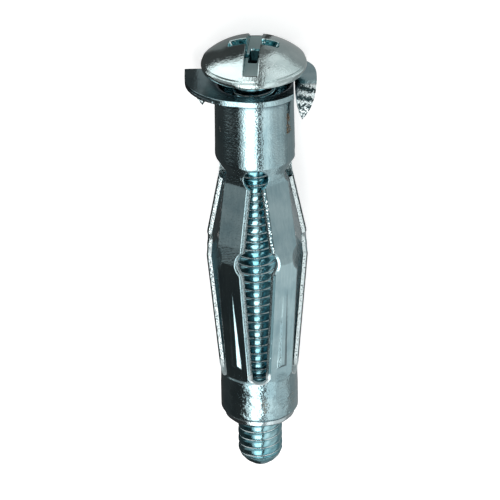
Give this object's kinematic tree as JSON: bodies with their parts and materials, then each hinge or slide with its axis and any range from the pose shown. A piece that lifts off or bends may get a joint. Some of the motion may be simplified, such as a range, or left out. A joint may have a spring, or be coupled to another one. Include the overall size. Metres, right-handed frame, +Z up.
{
  "type": "metal hollow wall anchor",
  "caption": "Slotted sheet sleeve with a clawed flange, a bulged leg cage and a crimped threaded bush, on a mushroom head machine screw.",
  "frame": {"origin": "on the screw's axis, at the underside of the flange, where it meets the wall", "axes": "the anchor lies on its side: +Y along the axis towards the screw's head, +Z up through the slot between two legs, +X to the right seen from the sleeve's end towards the head"},
  "size_m": [0.0185, 0.0665, 0.0148],
  "materials": {
    "sleeve_zinc": "bright blue zinc plate on drawn sheet steel",
    "bush_zinc": "bright zinc plate on turned steel",
    "screw_zinc": "blue-green zinc plate on rolled steel thread"
  },
  "bodies": {
    "sleeve": {"expansion_sleeve": "sleeve_zinc", "captive_nut": "bush_zinc"},
    "screw": {"machine_screw": "screw_zinc"}
  },
  "joints": [
    {"name": "screw_travel", "type": "slide", "parent": "sleeve", "child": "screw", "axis": [0, 1, 0], "range_m": [-0.002, 0.0129]}
  ]
}
